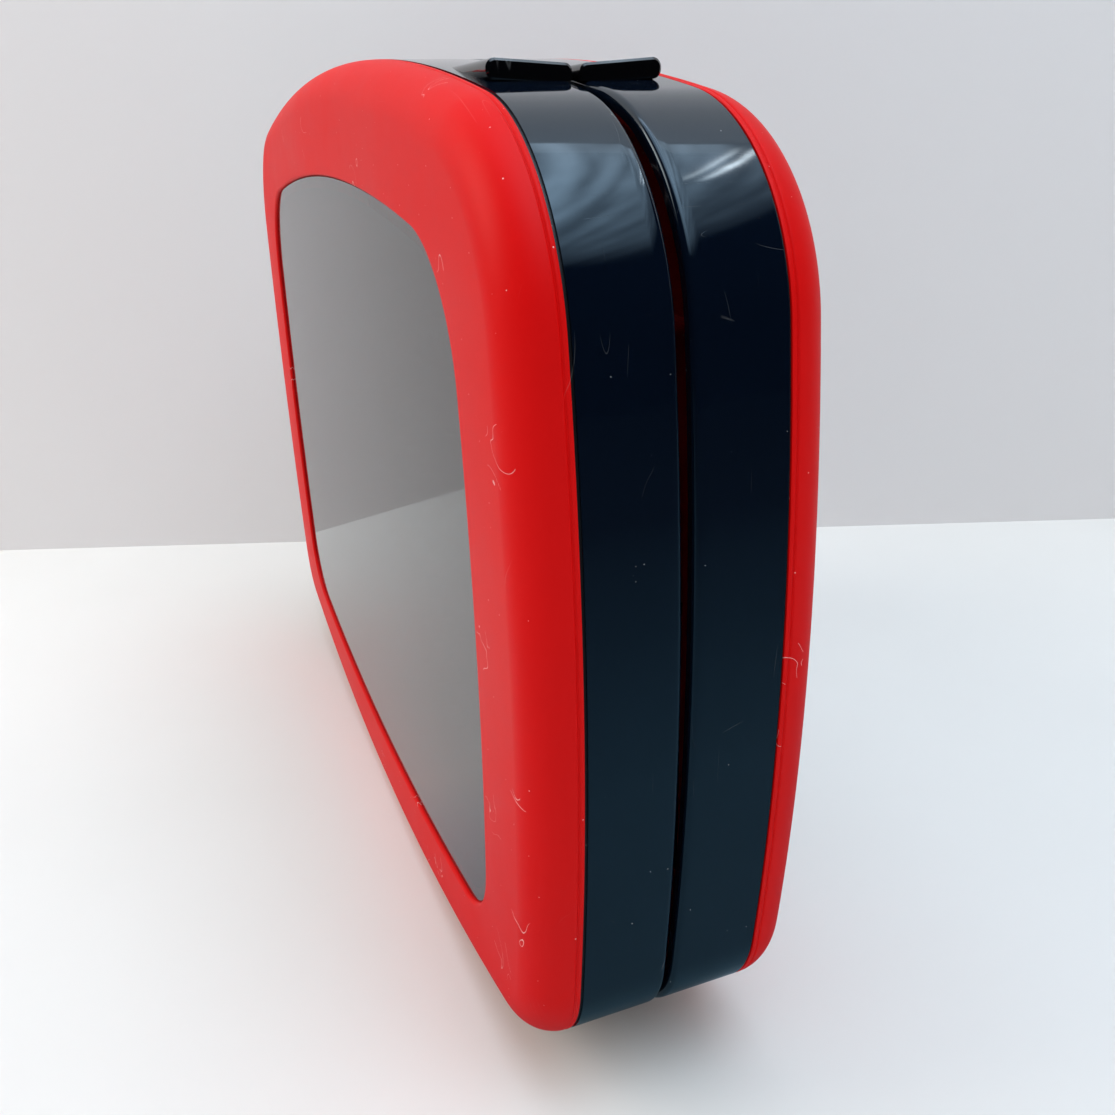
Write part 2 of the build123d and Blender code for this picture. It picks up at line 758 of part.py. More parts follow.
def peg_tray(x):
    outer_width = tray_width + 2 * tray_wall
    outer_length = tray_length + 2 * tray_wall
    floor_front = deck_front[BASE] + tray_depth
    with BuildPart() as tray:
        with BuildSketch(facing(BASE, flange_front)):
            with Locations((x, cover_z)):
                Rectangle(cover_width, cover_length)
        extrude(amount=tray_flange)
        with BuildSketch(facing(BASE, flange_front)):
            with Locations((x, cover_z)):
                Rectangle(outer_width, outer_length)
        extrude(amount=floor_front + tray_floor - flange_front)
        with BuildSketch(facing(BASE, flange_front)):
            with Locations((x, cover_z)):
                Rectangle(tray_width, tray_length)
        extrude(amount=floor_front - flange_front, mode=Mode.SUBTRACT)
        with BuildSketch(facing(BASE, floor_front)):
            with Locations(*rack_points(x, 0, rack_rows)):
                Circle(peg_hole_radius)
        extrude(amount=tray_floor, mode=Mode.SUBTRACT)
    return tray


def peg_cover(x):
    with BuildPart() as cover:
        with BuildSketch(facing(BASE, cover_front)):
            with Locations((x, cover_z)):
                Rectangle(cover_width, cover_length)
        extrude(amount=cover_thickness)
        with BuildSketch(facing(BASE, cover_front)):
            with Locations((x, cover_z)):
                with GridLocations(cover_ridge_pitch, cover_ridge_pitch, 1, cover_ridge_count):
                    Rectangle(tray_width / 2, cover_ridge_width)
        extrude(amount=-cover_ridge)
    return cover


# On a facing plane of the base, the tray at +X lies at -band_x
for colour, x in (("white", band_x), ("red", -band_x)):
    save(peg_tray(x), f"{colour}_peg_tray")
    save(peg_group(BASE, deck_front[BASE] + tray_depth, rack_points(x, 0, rack_rows_filled)),
         f"{colour}_pegs")
    save(peg_cover(x), f"{colour}_peg_cover")

board_front = {side: deck_front[side] + deck_thickness for side in (LID, BASE)}
for colour, marks in (("white", white_marks), ("red", red_marks)):
    points = [cell(column, row, LID) for column, row in marks]
    save(peg_group(LID, board_front[LID], points), f"{colour}_target_pegs")


# ---- Ships ------------------------------------------------------------------------------------------
def ship(cells, column, row, upright):
    """A hull with a pointed bow, a peg hole over each cell, towers between them and two pins below."""
    length = cells * grid_pitch - 2 * ship_end_gap
    half, beam = length / 2, ship_beam / 2
    first = cell(column, row, BASE)
    last = cell(column + (0 if upright else cells - 1), row + (cells - 1 if upright else 0), BASE)
    centre = ((first[0] + last[0]) / 2, (first[1] + last[1]) / 2)
    seat = facing(BASE, board_front[BASE])
    plane = Plane(
        origin=seat.from_local_coords((centre[0], centre[1], 0)),
        x_dir=(0, 0, 1) if upright else seat.x_dir, z_dir=seat.z_dir,
    )
    holes = [((i - (cells - 1) / 2) * grid_pitch, 0) for i in range(cells)]
    gaps = [((i - (cells - 2) / 2) * grid_pitch, 0) for i in range(cells - 1)]
    with BuildPart() as hull:
        with BuildSketch(plane):
            with BuildLine():
                ThreePointArc(
                    (half - ship_bow_length, beam), (half - ship_bow_shoulder, ship_bow_shoulder_half), (half, 0)
                )
                ThreePointArc(
                    (half, 0), (half - ship_bow_shoulder, -ship_bow_shoulder_half), (half - ship_bow_length, -beam)
                )
                Polyline(
                    (half - ship_bow_length, -beam), (ship_stern_length - half, -beam),
                    (-half, -ship_stern_half), (-half, ship_stern_half),
                    (ship_stern_length - half, beam), (half - ship_bow_length, beam),
                )
            make_face()
        extrude(amount=-ship_hull_height)
        deck = hull.faces().filter_by(Axis.Y).sort_by(Axis.Y)[0]
        chamfer(deck.edges(), ship_rounding)
        with BuildSketch(plane.offset(-ship_hull_height)):
            with Locations(*gaps):
                Rectangle(tower_length, tower_width)
        extrude(amount=-tower_height, taper=tower_taper)
        with BuildSketch(plane.offset(-ship_hull_height)):
            with Locations(*holes):
                Circle(peg_hole_radius)
        extrude(amount=ship_hole_depth, mode=Mode.SUBTRACT)
        with BuildSketch(plane):
            with Locations(holes[0], holes[-1]):
                Circle(peg_radius)
        extrude(amount=ship_pin_length)
    return hull


for ship_name, cells, column, row, upright in ships:
    save(ship(cells, column, row, upright), ship_name)
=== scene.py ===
import math

import bmesh
import bpy
import numpy as np
from mathutils import Matrix


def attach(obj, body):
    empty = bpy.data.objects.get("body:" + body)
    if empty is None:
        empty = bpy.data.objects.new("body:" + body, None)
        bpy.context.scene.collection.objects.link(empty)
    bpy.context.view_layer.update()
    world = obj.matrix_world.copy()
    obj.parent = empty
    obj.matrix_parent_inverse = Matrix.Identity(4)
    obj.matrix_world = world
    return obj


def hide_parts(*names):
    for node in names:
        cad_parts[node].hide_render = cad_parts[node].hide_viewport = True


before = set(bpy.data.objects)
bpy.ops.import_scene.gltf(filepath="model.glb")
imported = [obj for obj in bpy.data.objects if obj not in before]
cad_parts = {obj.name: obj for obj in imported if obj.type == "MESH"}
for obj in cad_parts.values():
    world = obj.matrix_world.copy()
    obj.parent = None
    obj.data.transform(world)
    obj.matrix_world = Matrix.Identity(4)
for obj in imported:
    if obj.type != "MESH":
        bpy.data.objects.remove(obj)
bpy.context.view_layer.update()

scene = bpy.context.scene


# ---- Camera ----------------------------------------------------------------------------------------
# It stands close to the +X end of the case, above it and on the lid's side, and is tipped a little
# about its own line of sight.  Angles are in degrees, and the lens is for a 36 mm wide sensor.
eye = (0.27126, -0.07444, 0.18414)
azimuth, elevation, tip = (math.radians(a) for a in (68.97, 22.07, -1.62))
forward = np.array([
    -math.sin(azimuth) * math.cos(elevation), math.cos(azimuth) * math.cos(elevation), -math.sin(elevation)
])
level = np.cross(forward, (0.0, 0.0, 1.0))
level /= np.linalg.norm(level)
upward = np.cross(level, forward)
sideways = math.cos(tip) * level + math.sin(tip) * upward
overhead = math.cos(tip) * upward - math.sin(tip) * level
camera_data = bpy.data.cameras.new("camera")
camera_data.lens, camera_data.sensor_width = 33.94, 36.0
camera_data.clip_start, camera_data.clip_end = 0.005, 20.0
camera = bpy.data.objects.new("camera", camera_data)
scene.collection.objects.link(camera)
camera.matrix_world = Matrix([
    (*(float(v) for v in (sideways[i], overhead[i], -forward[i])), eye[i]) for i in range(3)
] + [(0.0, 0.0, 0.0, 1.0)])
scene.camera = camera
scene.view_settings.view_transform = "Standard"


# ---- Floor and backdrop ----------------------------------------------------------------------------
# A pale matte sheet to stand on and a pale card behind, both plain to the camera; in the case's
# reflections the sheet shows a painted reflection instead, set below.  The card is there for the front
# of it only: seen from its back it is clear, so that it hides nothing from behind.
def add_node(tree, kind, **sockets):
    """Adds a shader node. A keyword is a socket's name with _ for a space, or a property's name, and
    its value is a number, a colour, or another node's output socket to link."""
    made = tree.nodes.new(kind)
    for key, value in sockets.items():
        if hasattr(made, key) and not key[0].isupper():
            setattr(made, key, value)
            continue
        name, _, index = key.partition("__")
        found = [s for s in made.inputs if s.name == name.replace("_", " ")]
        socket = found[int(index or 0)]
        if isinstance(value, bpy.types.NodeSocket):
            tree.links.new(value, socket)
        else:
            socket.default_value = value
    return made


def new_material(name, **principled):
    """A material, its node tree and its Principled shader, with these values on the shader's sockets."""
    material = bpy.data.materials.new(name)
    material.use_nodes = True
    tree = material.node_tree
    shader = tree.nodes["Principled BSDF"]
    for key, value in principled.items():
        shader.inputs[key.replace("_", " ")].default_value = value
    return material, tree, shader


def mix_colour(tree, factor, first, second):
    """A colour mixed from two by a factor; each is a colour or a socket."""
    mixed = tree.nodes.new("ShaderNodeMix")
    mixed.data_type = "RGBA"
    for index, value in ((0, factor), (6, first), (7, second)):
        if isinstance(value, bpy.types.NodeSocket):
            tree.links.new(value, mixed.inputs[index])
        else:
            mixed.inputs[index].default_value = value
    return mixed.outputs[2]


def flat_sheet(name, corners, material):
    """A four-sided sheet through these corners, which isn't part of the case."""
    mesh = bpy.data.meshes.new(name)
    mesh.from_pydata(corners, [], [(0, 1, 2, 3)])
    mesh.materials.append(material)
    sheet = bpy.data.objects.new(name, mesh)
    scene.collection.objects.link(sheet)


paper, tree, shader = new_material("pale_paper", Roughness=0.9)
spot = add_node(tree, "ShaderNodeTexCoord")
cloud = add_node(tree, "ShaderNodeTexNoise", Vector=spot.outputs["Object"], Scale=6.0, Detail=3.0)
tone = mix_colour(tree, cloud.outputs["Fac"], (0.72, 0.685, 0.64, 1), (0.80, 0.765, 0.72, 1))
# Painted reflection: only glossy rays see this ramp, so in the case's reflections the sheet is painted
# pale near the case and dark, with a teal tint, towards +X, standing in for an unlit room beyond a lit
# table.  A stop is a share of the way to 0.8 m, and its colour there.
place = add_node(tree, "ShaderNodeSeparateXYZ", Vector=spot.outputs["Object"])
ahead = add_node(tree, "ShaderNodeMapRange", Value=place.outputs["X"], From_Min=0.0, From_Max=0.8)
painted_reflection_ramp = add_node(tree, "ShaderNodeValToRGB", Fac=ahead.outputs[0])
painted_reflection_ramp.color_ramp.elements[0].color = (0.76, 0.73, 0.69, 1)
painted_reflection_ramp.color_ramp.elements[-1].color = (0.008, 0.010, 0.014, 1)
for share, colour in (
    (0.04, (0.60, 0.60, 0.60, 1)), (0.16, (0.10, 0.19, 0.23, 1)), (0.28, (0.12, 0.22, 0.26, 1)),
    (0.44, (0.06, 0.11, 0.13, 1)), (0.75, (0.010, 0.012, 0.016, 1)),
):
    stop = painted_reflection_ramp.color_ramp.elements.new(share)
    stop.color = colour
mirrored = add_node(tree, "ShaderNodeLightPath")
# Glossy rays get the painted reflection ramp, the camera and diffuse rays get the plain paper tone
seen = mix_colour(tree, mirrored.outputs["Is Glossy Ray"], tone, painted_reflection_ramp.outputs["Color"])
tree.links.new(seen, shader.inputs["Base Color"])
flat_sheet("floor", [(-1.6, -1.6, 0), (1.8, -1.6, 0), (1.8, 1.6, 0), (-1.6, 1.6, 0)], paper)

card, tree, shader = new_material("pale_card", Base_Color=(0.74, 0.705, 0.69, 1), Roughness=0.8)
rear = add_node(tree, "ShaderNodeNewGeometry")
clear = add_node(tree, "ShaderNodeBsdfTransparent")
both = add_node(tree, "ShaderNodeMixShader", Fac=rear.outputs["Backfacing"])
tree.links.new(shader.outputs[0], both.inputs[1])
tree.links.new(clear.outputs[0], both.inputs[2])
tree.links.new(both.outputs[0], tree.nodes["Material Output"].inputs["Surface"])
card_foot = np.array([-0.181, 0.099])
card_normal = np.array([0.933, -0.358])
card_along = np.array([-card_normal[1], card_normal[0]])
left, right = card_foot - 1.6 * card_along, card_foot + 1.3 * card_along
flat_sheet("backdrop", [(*left, 0), (*right, 0), (*right, 1.5), (*left, 1.5)], card)


# ---- Light -----------------------------------------------------------------------------------------
# Soft boxes above and beside the case, brightest in their middles and faintly streaked like a window
# through blinds, and an even pale sky that shows in no reflection.
def softbox(name, place, aim, width, height, power, colour=(1.0, 1.0, 1.0), streaks=0.0, bars=0.0, spin=0.0):
    """An area light at place, facing aim, that the camera doesn't see. Its strength is 6u(1 - u) times
    6v(1 - v) over its width u and height v, times a streaky noise, and cut into this many bars.
    Spin turns it about its own axis, in degrees."""
    lamp = bpy.data.lights.new(name, "AREA")
    lamp.shape, lamp.size, lamp.size_y = "RECTANGLE", width, height
    lamp.energy, lamp.color = power, colour
    lamp.use_nodes = True
    tree = lamp.node_tree
    glow = tree.nodes["Emission"]
    across = add_node(tree, "ShaderNodeSeparateXYZ", Vector=add_node(
        tree, "ShaderNodeNewGeometry").outputs["Parametric"])
    level = None
    for axis in ("X", "Y"):
        rest = add_node(tree, "ShaderNodeMath", operation="SUBTRACT", Value=1.0, Value__1=across.outputs[axis])
        hump = add_node(tree, "ShaderNodeMath", operation="MULTIPLY", Value=rest.outputs[0],
                        Value__1=across.outputs[axis])
        raised = add_node(tree, "ShaderNodeMath", operation="MULTIPLY", Value=hump.outputs[0], Value__1=6.0)
        level = raised.outputs[0] if level is None else add_node(
            tree, "ShaderNodeMath", operation="MULTIPLY", Value=level, Value__1=raised.outputs[0]).outputs[0]
    if streaks:
        drawn = add_node(tree, "ShaderNodeMapping", Vector=across.inputs[0].links[0].from_socket,
                         Scale=(2.0, 14.0, 1.0))
        noise = add_node(tree, "ShaderNodeTexNoise", Vector=drawn.outputs[0], Scale=2.0, Detail=4.0)
        band = add_node(tree, "ShaderNodeMapRange", Value=noise.outputs["Fac"], From_Min=0.38, From_Max=0.66,
                        To_Min=1.0 - streaks, To_Max=1.0 + streaks)
        level = add_node(tree, "ShaderNodeMath", operation="MULTIPLY", Value=level,
                         Value__1=band.outputs[0]).outputs[0]
    if bars:
        turns = add_node(tree, "ShaderNodeMath", operation="MULTIPLY", Value=across.outputs["Y"],
                         Value__1=2 * math.pi * bars)
        wave = add_node(tree, "ShaderNodeMath", operation="SINE", Value=turns.outputs[0])
        slat = add_node(tree, "ShaderNodeMapRange", Value=wave.outputs[0], From_Min=0.1, From_Max=0.7)
        level = add_node(tree, "ShaderNodeMath", operation="MULTIPLY", Value=level,
                         Value__1=slat.outputs[0]).outputs[0]
    tree.links.new(level, glow.inputs["Strength"])
    box = bpy.data.objects.new(name, lamp)
    scene.collection.objects.link(box)
    away = Matrix.Translation(place)
    facing = (Matrix.Translation(aim).translation - away.translation).to_track_quat("-Z", "Y")
    box.matrix_world = away @ facing.to_matrix().to_4x4() @ Matrix.Rotation(math.radians(spin), 4, "Z")
    box.visible_camera = False


sky = bpy.data.worlds.new("sky")
sky.use_nodes = True
sky.node_tree.nodes["Background"].inputs["Color"].default_value = (0.98, 0.98, 1.0, 1)
sky.node_tree.nodes["Background"].inputs["Strength"].default_value = 0.44
scene.world = sky
sky.cycles_visibility.glossy = False
softbox("top_box", (0.25, 0.12, 1.10), (0.25, 0.12, 0.0), 2.3, 1.2, 19.5, (0.66, 0.83, 1.0), 0.5)
softbox("left_box", (-0.35, -0.95, 0.75), (-0.05, 0.0, 0.1), 0.9, 0.9, 8.6, (1.0, 0.95, 0.88))
softbox("blind_box", (0.19, 0.52, 1.04), (0.19, 0.52, 0.0), 0.32, 0.055, 0.55, (0.95, 0.98, 1.0), 0.6, 2.0,
        -10.6)


# ---- Wall rings ------------------------------------------------------------------------------------
# The navy sides of the two halves: one bowed ring each, moulded in glossy hard plastic, with a beaded
# seam edge and an inner flange that the bezel and the deck are screwed against.
MM = 0.001
LID, BASE = -1, 1          # which way along Y each half lies from the seam


def find_corner(side_x, side_z, side_radius, end_z, end_radius, radius):
    """Centre of the corner arc that touches the side arc and the end arc from inside: it lies on both
    of the circles about their centres whose radii are theirs less the corner's own."""
    near, far = side_radius - radius, end_radius - radius
    dx, dz = -side_x, end_z - side_z
    span = math.hypot(dx, dz)
    along = (span**2 + near**2 - far**2) / (2 * span)
    across = math.sqrt(near**2 - along**2)
    foot_x, foot_z = side_x + dx / span * along, side_z + dz / span * along
    return max(
        (foot_x - sign * dz / span * across, foot_z + sign * dx / span * across) for sign in (-1, 1)
    )


def bowed_outline(half, low, high, middle, side, top, bottom, high_corner, low_corner):
    """A rounded rectangle with bowed sides, in mm, as eight arcs in the order of the angle of their
    outward normal: (angles where they start, centres, radii). Angle 0 faces +X, a right angle +Z."""
    side_x = half - side
    upper = find_corner(side_x, middle, side, high - top, top, high_corner)
    lower = find_corner(side_x, middle, side, low + bottom, bottom, low_corner)
    low_side = math.atan2(lower[1] - middle, lower[0] - side_x)
    high_side = math.atan2(upper[1] - middle, upper[0] - side_x)
    high_end = math.atan2(upper[1] - (high - top), upper[0])
    low_end = math.atan2(lower[1] - (low + bottom), lower[0])
    starts = np.array([
        low_side, high_side, high_end, math.pi - high_end, math.pi - high_side, math.pi - low_side,
        math.pi - low_end, 2 * math.pi + low_end, 2 * math.pi + low_side,
    ])
    centres = np.array([
        (side_x, middle), upper, (0, high - top), (-upper[0], upper[1]), (-side_x, middle),
        (-lower[0], lower[1]), (0, low + bottom), lower,
    ])
    radii = np.array([side, high_corner, top, high_corner, side, low_corner, bottom, low_corner])
    return starts, centres, radii


def around(outline, step):
    """Normal angles round the outline, about one every step millimetres and at least 20 to a corner."""
    starts, _, radii = outline
    counts = np.maximum(20, np.ceil(np.diff(starts) * radii / step)).astype(int)
    return np.concatenate([
        np.linspace(a, b, n, endpoint=False) for a, b, n in zip(starts[:-1], starts[1:], counts)
    ])


def ring(outline, turn, inset, depth, side):
    """The outline's parallel at this inset and depth: at each normal angle, the arc's centre plus its
    radius less the inset along (cos, sin). Depth may be one number or one per point."""
    starts, centres, radii = outline
    wrapped = starts[0] + (turn - starts[0] + 1e-9) % (2 * math.pi)
    arc = np.clip(np.searchsorted(starts, wrapped, side="right") - 1, 0, 7)
    reach = radii[arc] - inset
    x = centres[arc, 0] + reach * np.cos(turn)
    z = centres[arc, 1] + reach * np.sin(turn)
    return np.stack([x, side * np.broadcast_to(depth, x.shape), z], -1)


def quarter(start, end, count):
    """Angles from start to end in degrees, both included, as radians."""
    return np.radians(np.linspace(start, end, count))


def join_rings(name, rings, closed=True):
    """A mesh through rings of equal count, in mm: point j of ring i is joined to point j + 1 and to
    ring i + 1 by a quad, each ring closes on itself, and the last ring joins the first if closed."""
    points = np.concatenate(rings) * MM
    rows, count = len(rings), len(rings[0])
    i, j = np.meshgrid(np.arange(rows if closed else rows - 1), np.arange(count), indexing="ij")
    i2, j2 = (i + 1) % rows, (j + 1) % count
    quads = np.stack([i * count + j, i * count + j2, i2 * count + j2, i2 * count + j], -1).reshape(-1, 4)
    return build_mesh(name, points, quads)


def build_mesh(name, points, quads):
    """A mesh of quads or polygons of one size, with its faces turned outwards and shaded smooth except
    where two faces meet at more than 35 degrees."""
    mesh = bpy.data.meshes.new(name)
    sides = quads.shape[1]
    mesh.vertices.add(len(points))
    mesh.vertices.foreach_set("co", np.asarray(points, np.float32).ravel())
    mesh.loops.add(quads.size)
    mesh.loops.foreach_set("vertex_index", quads.astype(np.int32).ravel())
    mesh.polygons.add(len(quads))
    mesh.polygons.foreach_set("loop_start", np.arange(0, quads.size, sides, dtype=np.int32))
    mesh.update(calc_edges=True)
    return outward(mesh)


def outward(mesh):
    """Turns the faces of a closed mesh outwards and sets its smooth and sharp edges."""
    work = bmesh.new()
    work.from_mesh(mesh)
    bmesh.ops.remove_doubles(work, verts=work.verts, dist=1e-7)
    bmesh.ops.recalc_face_normals(work, faces=work.faces)
    work.to_mesh(mesh)
    work.free()
    mesh.polygons.foreach_set("use_smooth", [True] * len(mesh.polygons))
    mesh.set_sharp_from_angle(angle=math.radians(35))
    return mesh


def add_piece(mesh, body, material, replaced=()):
    """Puts a finished mesh in the scene as a piece of the case that rides on a body."""
    mesh.materials.append(material)
    piece = bpy.data.objects.new(mesh.name, mesh)
    scene.collection.objects.link(piece)
    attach(piece, body)
    if replaced:
        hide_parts(*replaced)


case_outline = bowed_outline(136.0, 0.0, 200.0, 100.0, 484.0, 534.0, 462.0, 39.5, 24.3)
turn = around(case_outline, 1.6)
wall_depth, wall_thickness, flange_width, flange_thickness = 18.0, 2.4, 4.0, 2.0
seam_gap_low, seam_gap_high, bead = 0.45, 1.35, 1.2
axis_z, barrel_radius, knuckle_gap, sweep_clearance = 4.0, 4.0, 0.3, 3.2
relief_gap, relief_angle = 0.4, math.radians(54.5)
knuckles = {
    LID: [(46.0, 58.0), (-58.0, -46.0)],
    BASE: [(36.7, 45.7), (58.3, 67.3), (-45.7, -36.7), (-67.3, -58.3)],
}


def wall_ring(side):
    """The wall's section is carried round the outline. Its seam edge is then pushed away from the seam
    where it would meet the other half as the lid turns: depth is at least the height above the hinge
    axis that is left, with its gap, times the tangent of the relief angle, and at least the height of
    a circle about the axis beside the other half's knuckles."""
    bend = quarter(0, 90, 9)
    section = [(0, wall_depth), *((0, d) for d in (13.0, 8.0, 4.0))]
    section += [(bead * (1 - math.cos(a)), -bead * math.sin(a)) for a in bend]
    flange_top, flange_edge = wall_depth - flange_thickness, wall_thickness + flange_width
    section += [(wall_thickness, -bead - 0.001), (wall_thickness, 8.0), (wall_thickness, flange_top)]
    section += [(flange_edge, flange_top), (flange_edge, wall_depth)]
    rings = []
    for inset, depth in section:
        points = ring(case_outline, turn, inset, 0.0, side)
        x, z = points[:, 0], points[:, 2]
        gap = seam_gap_low + (seam_gap_high - seam_gap_low) * z / 200.0
        least = np.maximum(gap, (axis_z + relief_gap - z) * math.tan(relief_angle))
        for start, end in knuckles[-side]:
            beside = (x > start - knuckle_gap) & (x < end + knuckle_gap)
            clear = np.sqrt(np.maximum(0, (barrel_radius + sweep_clearance) ** 2 - (z - axis_z) ** 2))
            least = np.where(beside, np.maximum(least, clear), least)
        # Depths at or below zero are measured from the seam edge and its bead
        drawn = least + bead + depth if depth <= 0 else np.maximum(depth, least)
        points[:, 1] = side * drawn
        rings.append(points)
    return rings


# The finish: deep navy with a faint mottle, sink marks that bend reflections, hairline scratches, dust
def new_group(name, inputs, outputs):
    """A shader node group with these (name, kind, default) inputs and (name, kind) outputs."""
    group = bpy.data.node_groups.new(name, "ShaderNodeTree")
    for label, kind, default in inputs:
        socket = group.interface.new_socket(label, in_out="INPUT", socket_type=kind)
        if default is not None:
            socket.default_value = default
    for label, kind in outputs:
        group.interface.new_socket(label, in_out="OUTPUT", socket_type=kind)
    return group, group.nodes.new("NodeGroupInput"), group.nodes.new("NodeGroupOutput")


def place_group(tree, group, **sockets):
    """Places a node group in a material with its own values."""
    made = tree.nodes.new("ShaderNodeGroup")
    made.node_tree = group
    for key, value in sockets.items():
        socket = made.inputs[key.replace("_", " ")]
        if isinstance(value, bpy.types.NodeSocket):
            tree.links.new(value, socket)
        else:
            socket.default_value = value
    return made


hairlines, given, put = new_group(
    "hairline_scratches",
    [("Vector", "NodeSocketVector", None), ("Scale", "NodeSocketFloat", 20.0),
     ("Stretch", "NodeSocketVector", (1.0, 8.0, 1.0)), ("Turn", "NodeSocketVector", (0.3, 0.5, 0.2)),
     ("Width", "NodeSocketFloat", 0.004), ("Cover", "NodeSocketFloat", 0.6)],
    [("Mask", "NodeSocketFloat")],
)
# A line lies where a stretched noise crosses its middle, in the patches where a second noise is high
laid = add_node(hairlines, "ShaderNodeMapping", Vector=given.outputs["Vector"],
                Rotation=given.outputs["Turn"], Scale=given.outputs["Stretch"])
wander = add_node(hairlines, "ShaderNodeTexNoise", Vector=laid.outputs[0], Scale=given.outputs["Scale"],
                  Detail=1.0, Roughness=0.4)
offset = add_node(hairlines, "ShaderNodeMath", operation="SUBTRACT", Value=wander.outputs["Fac"], Value__1=0.5)
away = add_node(hairlines, "ShaderNodeMath", operation="ABSOLUTE", Value=offset.outputs[0])
line = add_node(hairlines, "ShaderNodeMapRange", Value=away.outputs[0], From_Max=given.outputs["Width"],
                To_Min=1.0, To_Max=0.0)
finer = add_node(hairlines, "ShaderNodeMath", operation="MULTIPLY", Value=given.outputs["Scale"], Value__1=3.5)
patch = add_node(hairlines, "ShaderNodeTexNoise", Vector=given.outputs["Vector"],
                 Scale=finer.outputs[0], Detail=2.0)
open_patch = add_node(hairlines, "ShaderNodeMapRange", Value=patch.outputs["Fac"],
                      From_Min=given.outputs["Cover"], From_Max=0.72)
both = add_node(hairlines, "ShaderNodeMath", operation="MULTIPLY", Value=line.outputs[0],
                Value__1=open_patch.outputs[0])
hairlines.links.new(both.outputs[0], put.inputs["Mask"])

dust, given, put = new_group(
    "dust_specks",
    [("Vector", "NodeSocketVector", None), ("Scale", "NodeSocketFloat", 600.0),
     ("Size", "NodeSocketFloat", 0.16), ("Share", "NodeSocketFloat", 0.2)],
    [("Mask", "NodeSocketFloat")],
)
# One speck in a share of the cells, as large as the cell's own random value allows
cells = add_node(dust, "ShaderNodeTexVoronoi", Vector=given.outputs["Vector"], Scale=given.outputs["Scale"])
lot = add_node(dust, "ShaderNodeSeparateColor", Color=cells.outputs["Color"])
chosen = add_node(dust, "ShaderNodeMath", operation="LESS_THAN", Value=lot.outputs["Red"],
                  Value__1=given.outputs["Share"])
reach = add_node(dust, "ShaderNodeMath", operation="MULTIPLY", Value=lot.outputs["Green"],
                 Value__1=given.outputs["Size"])
speck = add_node(dust, "ShaderNodeMath", operation="LESS_THAN", Value=cells.outputs["Distance"],
                 Value__1=reach.outputs[0])
both = add_node(dust, "ShaderNodeMath", operation="MULTIPLY", Value=chosen.outputs[0],
                Value__1=speck.outputs[0])
dust.links.new(both.outputs[0], put.inputs["Mask"])


def moulded_finish(name, deep, pale, rough, grain, sink, scratch_width=0.004, dust_share=0.15,
                   dust_colour=(0.45, 0.44, 0.42, 1), fine_scale=900.0, speck_size=0.14, **principled):
    """Moulded plastic: colour drifts between deep and pale, roughness varies about rough, a fine grain
    and broad sink marks raise the surface, and scratches and dust lie on top."""
    material, tree, shader = new_material(name, **principled)
    at = add_node(tree, "ShaderNodeTexCoord").outputs["Object"]
    drift = add_node(tree, "ShaderNodeTexNoise", Vector=at, Scale=26.0, Detail=4.0, Roughness=0.6)
    colour = mix_colour(tree, drift.outputs["Fac"], deep, pale)
    scratches = place_group(tree, hairlines, Vector=at, Width=scratch_width)
    crossing = place_group(tree, hairlines, Vector=at, Turn=(1.1, -0.4, 0.9), Stretch=(14.0, 1.0, 1.0),
                           Scale=26.0, Width=scratch_width)
    marks = add_node(tree, "ShaderNodeMath", operation="MAXIMUM", Value=scratches.outputs[0],
                     Value__1=crossing.outputs[0])
    specks = place_group(tree, dust, Vector=at, Share=dust_share, Size=speck_size, Scale=900.0)
    faint = add_node(tree, "ShaderNodeMath", operation="MULTIPLY", Value=marks.outputs[0], Value__1=0.18)
    light = add_node(tree, "ShaderNodeMath", operation="MAXIMUM", Value=faint.outputs[0],
                     Value__1=specks.outputs[0])
    tree.links.new(mix_colour(tree, light.outputs[0], colour, dust_colour), shader.inputs["Base Color"])
    uneven = add_node(tree, "ShaderNodeMapRange", Value=drift.outputs["Fac"],
                      To_Min=rough * 0.8, To_Max=rough * 1.25)
    scuffed = add_node(tree, "ShaderNodeMath", operation="MULTIPLY_ADD", Value=light.outputs[0],
                       Value__1=0.3, Value__2=uneven.outputs[0])
    tree.links.new(scuffed.outputs[0], shader.inputs["Roughness"])
    fine = add_node(tree, "ShaderNodeTexNoise", Vector=at, Scale=fine_scale, Detail=2.0)
    broad = add_node(tree, "ShaderNodeTexNoise", Vector=at, Scale=22.0, Detail=1.0)
    low = add_node(tree, "ShaderNodeMath", operation="MULTIPLY", Value=fine.outputs["Fac"], Value__1=grain)
    high = add_node(tree, "ShaderNodeMath", operation="MULTIPLY_ADD", Value=broad.outputs["Fac"],
                    Value__1=sink, Value__2=low.outputs[0])
    carved = add_node(tree, "ShaderNodeMath", operation="MULTIPLY_ADD", Value=marks.outputs[0],
                      Value__1=-0.01, Value__2=high.outputs[0])
    bump = add_node(tree, "ShaderNodeBump", Height=carved.outputs[0], Strength=1.0, Distance=MM)
    tree.links.new(bump.outputs[0], shader.inputs["Normal"])
    return material


navy = moulded_finish("navy_gloss", (0.0010, 0.0027, 0.0068, 1), (0.0018, 0.0043, 0.0100, 1), 0.06, 0.0005,
                      0.16, scratch_width=0.0022, dust_share=0.06, speck_size=0.10, IOR=1.5,
                      Specular_Tint=(0.70, 0.88, 1.0, 1))
for side, body in ((LID, "lid"), (BASE, "base")):
    wall = join_rings(f"{body}_wall_shell", wall_ring(side))
    add_piece(wall, body, navy, (f"{body}_wall",))


